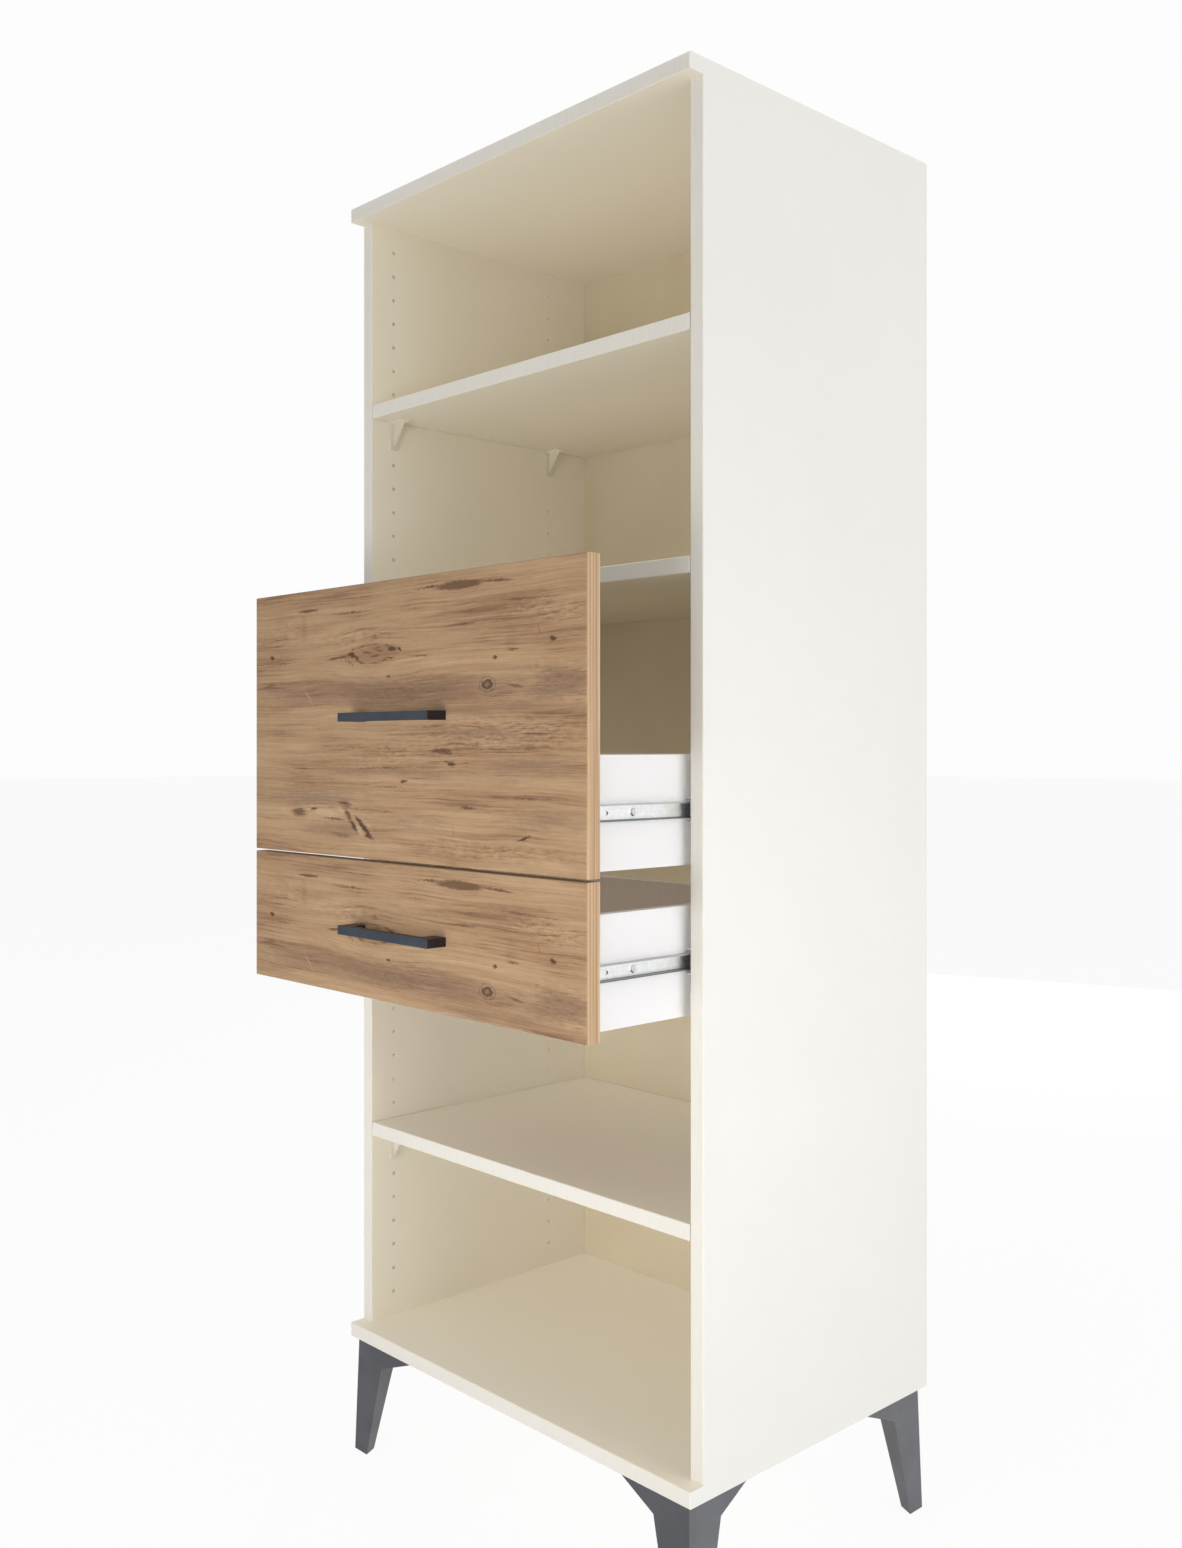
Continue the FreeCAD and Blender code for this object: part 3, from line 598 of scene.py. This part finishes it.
def screw_tree():
    """A tapered head with a cross recess, its crown at the place, and a plain shank below it."""
    nodes, given = new_tree("cross_screws", (
        "Crown Radius", "Rim Radius", "Head Height", "Shank Radius", "Shank Length", "Cross Length",
        "Cross Width", "Cross Depth"))
    head = nodes.node("GeometryNodeMeshCone", {}, {
        "Vertices": 28, "Radius Top": given["Crown Radius"], "Radius Bottom": given["Rim Radius"],
        "Depth": given["Head Height"]})
    head = moved(nodes, head, 0 - given["Head Height"])
    shank = nodes.node("GeometryNodeMeshCylinder", {}, {
        "Vertices": 12, "Radius": given["Shank Radius"], "Depth": given["Shank Length"]})
    shank = moved(nodes, shank, 0 - (given["Head Height"] + given["Shank Length"] * 0.5))
    bars = []
    for across, along in (("Cross Length", "Cross Width"), ("Cross Width", "Cross Length")):
        size = nodes.node("ShaderNodeCombineXYZ", {}, {
            0: given[across], 1: given[along], 2: given["Cross Depth"] * 2})
        bars.append(nodes.node("GeometryNodeMeshCube", {}, {"Size": size}))
    recessed = nodes.node("GeometryNodeMeshBoolean", {"operation": "DIFFERENCE"},
                          {"Mesh 1": head, "Mesh 2": bars})
    screw = nodes.node("GeometryNodeJoinGeometry", {}, {"Geometry": [recessed, shank]})
    outward = nodes.node("GeometryNodeInputNamedAttribute", {"data_type": "FLOAT_VECTOR"},
                         {"Name": "outward"})
    upright = nodes.node("FunctionNodeAlignRotationToVector", {"axis": "Z"}, {"Vector": outward})
    turn = nodes.node("FunctionNodeRandomValue", {"data_type": "FLOAT"},
                      {"Min": 0.0, "Max": 1.5, "Seed": 7}, 1)
    spin = nodes.node("FunctionNodeAxisAngleToRotation", {}, {"Axis": (0, 0, 1), "Angle": turn})
    rotation = nodes.node("FunctionNodeRotateRotation", {"rotation_space": "LOCAL"},
                          {"Rotation": upright, "Rotate By": spin})
    return close_tree(nodes, given, screw, rotation)


def ball_tree():
    nodes, given = new_tree("slide_balls", ("Ball Radius",))
    ball = nodes.node("GeometryNodeMeshUVSphere", {}, {
        "Segments": 16, "Rings": 10, "Radius": given["Ball Radius"]})
    ball = nodes.node("GeometryNodeSetShadeSmooth", {}, {"Geometry": ball})
    return close_tree(nodes, given, ball, (0, 0, 0))


def grown(tree, name, places, outward, sizes, metal):
    """A plain mesh of what a tree makes on the places, each place facing outward."""
    points = bpy.data.meshes.new(name + "_places")
    points.from_pydata(places, [], [])
    facing = points.attributes.new("outward", "FLOAT_VECTOR", "POINT")
    facing.data.foreach_set("vector", [part for axis in outward for part in axis])
    source = bpy.data.objects.new(name + "_places", points)
    bpy.context.collection.objects.link(source)
    modifier = source.modifiers.new("grow", "NODES")
    modifier.node_group = tree
    given = {**sizes, "Metal": metal}
    for socket in tree.interface.items_tree:
        if socket.in_out == "INPUT" and socket.name in given:
            modifier[socket.identifier] = given[socket.name]
    made = source.evaluated_get(bpy.context.evaluated_depsgraph_get())
    mesh = bpy.data.meshes.new_from_object(made)
    bpy.data.objects.remove(source)
    piece = bpy.data.objects.new(name, mesh)
    bpy.context.collection.objects.link(piece)
    return piece


def screw_sizes(crown, rim, height, shank, length, cross):
    """Radii and lengths in millimetres, as the tree's inputs in metres."""
    return {"Crown Radius": crown / 1000, "Rim Radius": rim / 1000, "Head Height": height / 1000,
            "Shank Radius": shank / 1000, "Shank Length": length / 1000, "Cross Length": cross / 1000,
            "Cross Width": cross / 5000, "Cross Depth": height / 2500}


RUNNER_SCREW = screw_sizes(crown=3.1, rim=4.3, height=2.0, shank=1.75, length=12.0, cross=4.2)
CAM_DISC = screw_sizes(crown=7.3, rim=7.3, height=9.4, shank=2.0, length=0.05, cross=9.0)
BACK_SCREW = screw_sizes(crown=4.0, rim=2.0, height=2.4, shank=2.0, length=37.6, cross=4.4)
HANDLE_SCREW = screw_sizes(crown=4.0, rim=2.0, height=2.2, shank=2.0, length=24.8, cross=4.4)
RAIL_SCREW = screw_sizes(crown=3.0, rim=1.75, height=1.2, shank=1.75, length=10.8, cross=3.4)
BOARD_SCREW = screw_sizes(crown=4.8, rim=3.0, height=3.0, shank=3.0, length=47.0, cross=5.4)
LEG_SCREW = screw_sizes(crown=4.0, rim=2.0, height=2.4, shank=2.0, length=15.6, cross=4.4)


def fit(piece, body, slot, *nodes):
    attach(piece, body)
    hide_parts(*nodes)


def add_fixings(tree, name, body, node, sizes, places):
    """One piece of like screws, each given by the middle of its crown and the way that it faces."""
    piece = grown(tree, name, *zip(*places), sizes, FINISHES["fixing_steel"])
    fit(piece, body, "fixing_steel", node)


def add_drawer_screws(tree, level, slide):
    body = level + "_drawer"
    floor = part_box(level + "_drawer_right_side")[0].z
    handle = middle(level + "_handle").z
    runner_crown = BOX_HIGH.x + SLIDE_STEEL + RUNNER_SCREW["Head Height"]
    add_fixings(tree, level + "_runner_pan_screws", body, level + "_runner_screws", RUNNER_SCREW, [
        ((side * runner_crown, RUNNER_LOW.y + RUNNER_LENGTH * share, slide), (side, 0, 0))
        for side in LEFT_AND_RIGHT for share in RUNNER_SCREW_SHARES])
    add_fixings(tree, level + "_cam_discs", body, level + "_drawer_cams", CAM_DISC, [
        ((-side * BOX_LOW.x, CAM_DEPTH, floor + BOX_HEIGHT * share), (side, 0, 0))
        for side in LEFT_AND_RIGHT for share in CAM_SHARES])
    add_fixings(tree, level + "_box_wood_screws", body, level + "_drawer_back_screws", BACK_SCREW, [
        ((side * BOX_HIGH.x, BOX_BACK_MIDDLE, floor + BOX_HEIGHT * share), (side, 0, 0))
        for side in LEFT_AND_RIGHT for share in BACK_SCREW_SHARES])
    add_fixings(tree, level + "_pull_screws", body, level + "_handle_screws", HANDLE_SCREW, [
        ((side * HANDLE_SCREW_OUT, DRAWER_FACE_BACK, handle), (0, 1, 0)) for side in LEFT_AND_RIGHT])


def front_or_rear(end, inwards):
    return LEG_FRONT + inwards if end < 0 else LEG_REAR - inwards


def add_carcass_screws(tree):
    add_fixings(tree, "rail_flat_screws", "carcass", "rail_screws", RAIL_SCREW, [
        ((side * (INNER_HALF_WIDTH - SLIDE_STEEL), CARCASS_FRONT + setback, slide), (-side, 0, 0))
        for side in LEFT_AND_RIGHT for setback in RAIL_SCREW_SETBACKS
        for slide in (UPPER_SLIDE, LOWER_SLIDE)])
    add_fixings(tree, "top_board_screws", "carcass", "top_screws", BOARD_SCREW, [
        ((side * SIDE_MIDDLE, CARCASS_FRONT + SIDE_DEPTH * share, TOP_FACE), (0, 0, 1))
        for side in LEFT_AND_RIGHT for share in TOP_SCREW_SHARES])
    add_fixings(tree, "base_board_screws", "carcass", "base_screws", BOARD_SCREW, [
        ((side * SIDE_MIDDLE, CARCASS_FRONT + SIDE_DEPTH * share, BASE_UNDERSIDE), (0, 0, -1))
        for side in LEFT_AND_RIGHT for share in BASE_SCREW_SHARES])
    add_fixings(tree, "leg_wood_screws", "carcass", "leg_screws", LEG_SCREW, [
        ((side * (LEG_OUTER - inwards), front_or_rear(end, along), BASE_UNDERSIDE - LEG_FLANGE), (0, 0, -1))
        for side in LEFT_AND_RIGHT for end in FRONT_AND_REAR for inwards, along in LEG_SCREW_OFFSETS])


def add_screws():
    tree = screw_tree()
    add_drawer_screws(tree, "upper", UPPER_SLIDE)
    add_drawer_screws(tree, "lower", LOWER_SLIDE)
    add_carcass_screws(tree)


def add_balls():
    tree = ball_tree()
    for level, slide in (("upper", UPPER_SLIDE), ("lower", LOWER_SLIDE)):
        for side_name, side in zip(("left", "right"), LEFT_AND_RIGHT):
            places = [(side * BALL_OUT, CAGE_LOW.y + CAGE_LENGTH * (step + 0.5) / BALLS_IN_A_ROW,
                       slide + race * RACE_RISE) for race in (-1, 1) for step in range(BALLS_IN_A_ROW)]
            piece = grown(tree, level + "_" + side_name + "_steel_balls", places, [(0, 0, 1)] * len(places),
                          {"Ball Radius": BALL_RADIUS}, FINISHES["slide_steel"])
            fit(piece, level + "_ball_cages", "slide_steel", level + "_" + side_name + "_slide_balls")


# Stage: pale floor, soft light and the camera of the photograph
def seen_directly(nodes):
    """1 for what the camera sees straight on, mirrored or through something clear."""
    straight, mirrored, through = [nodes.node("ShaderNodeLightPath", out=ray) for ray in (
        "Is Camera Ray", "Is Glossy Ray", "Is Transmission Ray")]
    return straight.or_more(mirrored).or_more(through)


def add_floor(reach):
    """A pale floor that looks almost white by itself and still shows the object's shadow."""
    mesh = bpy.data.meshes.new("floor")
    corners = [(-reach, -reach, 0), (reach, -reach, 0), (reach, reach, 0), (-reach, reach, 0)]
    mesh.from_pydata(corners, [], [(0, 1, 2, 3)])
    floor = bpy.data.objects.new("floor", mesh)
    bpy.context.collection.objects.link(floor)
    finish = Finish("pale_floor", {"Roughness": 0.9, "Specular IOR Level": 0.1})
    cloud = finish.noise(finish.place(), scale=2.0)
    finish.show(Base_Color=finish.mix(cloud, tone(246, 246, 245), tone(243, 243, 242)))
    glow = finish.node("ShaderNodeEmission", {}, {"Color": WHITE, "Strength": 1.0})
    paper = Value(finish, finish.surface.outputs[0])
    glow_share = seen_directly(finish) * FLOOR_GLOW_SHARE
    lit = finish.node("ShaderNodeMixShader", {}, {0: glow_share, 1: paper, 2: glow})
    finish.feed(finish.tree.nodes["Material Output"], {"Surface": lit})
    mesh.materials.append(finish.material)


def add_light(name, place, target, size, power, spread=180, shadow=True):
    """A round soft lamp that faces its target, with its spread in degrees."""
    lamp = bpy.data.lights.new(name, "AREA")
    lamp.shape = "DISK"
    lamp.size = size
    lamp.energy = power
    lamp.spread = math.radians(spread)
    lamp.use_shadow = shadow
    light = bpy.data.objects.new(name, lamp)
    light.visible_camera = False
    light.location = place
    east, north, up = [there - here for here, there in zip(place, target)]
    light.rotation_euler = (math.atan2(math.hypot(east, north), -up), 0, math.atan2(-east, north))
    bpy.context.collection.objects.link(light)


def add_sky(strength):
    """An even sky, seen as white by the camera and in reflections."""
    world = bpy.data.worlds.new("studio")
    bpy.context.scene.world = world
    world.use_nodes = True
    nodes = Nodes(world.node_tree)
    shown = strength + seen_directly(nodes) * (SKY_SEEN - strength)
    nodes.feed(world.node_tree.nodes["Background"], {"Color": WHITE, "Strength": shown})


def add_camera():
    """Level camera where the photograph was taken from."""
    lens = bpy.data.cameras.new("camera")
    lens.sensor_fit = "VERTICAL"
    lens.sensor_height = SENSOR_MM
    lens.lens = SENSOR_MM * FOCAL_PIXELS / FRAME_HEIGHT
    lens.shift_x = (FRAME_WIDTH / 2 - CENTRE_ACROSS) / FRAME_HEIGHT
    lens.shift_y = -(FRAME_HEIGHT / 2 - CENTRE_DOWN) / FRAME_HEIGHT
    camera = bpy.data.objects.new("camera", lens)
    camera.location = CAMERA_PLACE
    camera.rotation_euler = (math.pi / 2, 0, math.radians(CAMERA_TURN_DEGREES))
    bpy.context.collection.objects.link(camera)
    bpy.context.scene.camera = camera


dress_cad_nodes()
add_screws()
add_balls()
add_floor(FLOOR_REACH)
add_sky(strength=0.465)
add_light("key", place=(4.0, 0.1, 1.2), target=(0.3, 0.1, 0.8), size=2.5, power=53)
add_light("low_front", place=(0.34, -1.75, 0.50), target=(-0.05, 0.0, 0.52), size=0.8, power=10.5)
add_light("fill", place=(3.0, -3.4, 0.75), target=(0.0, 0.0, 0.62), size=0.5, power=0.38, spread=17,
          shadow=False)
add_light("overhead", place=(0.0, 0.0, 4.5), target=(0.0, 0.0, 0.0), size=2.0, power=36, shadow=False)
add_light("rear", place=(-1.6, 4.2, 0.9), target=(0.0, 0.0, 0.85), size=1.6, power=60)
add_camera()
bpy.context.scene.view_settings.view_transform = "Standard"
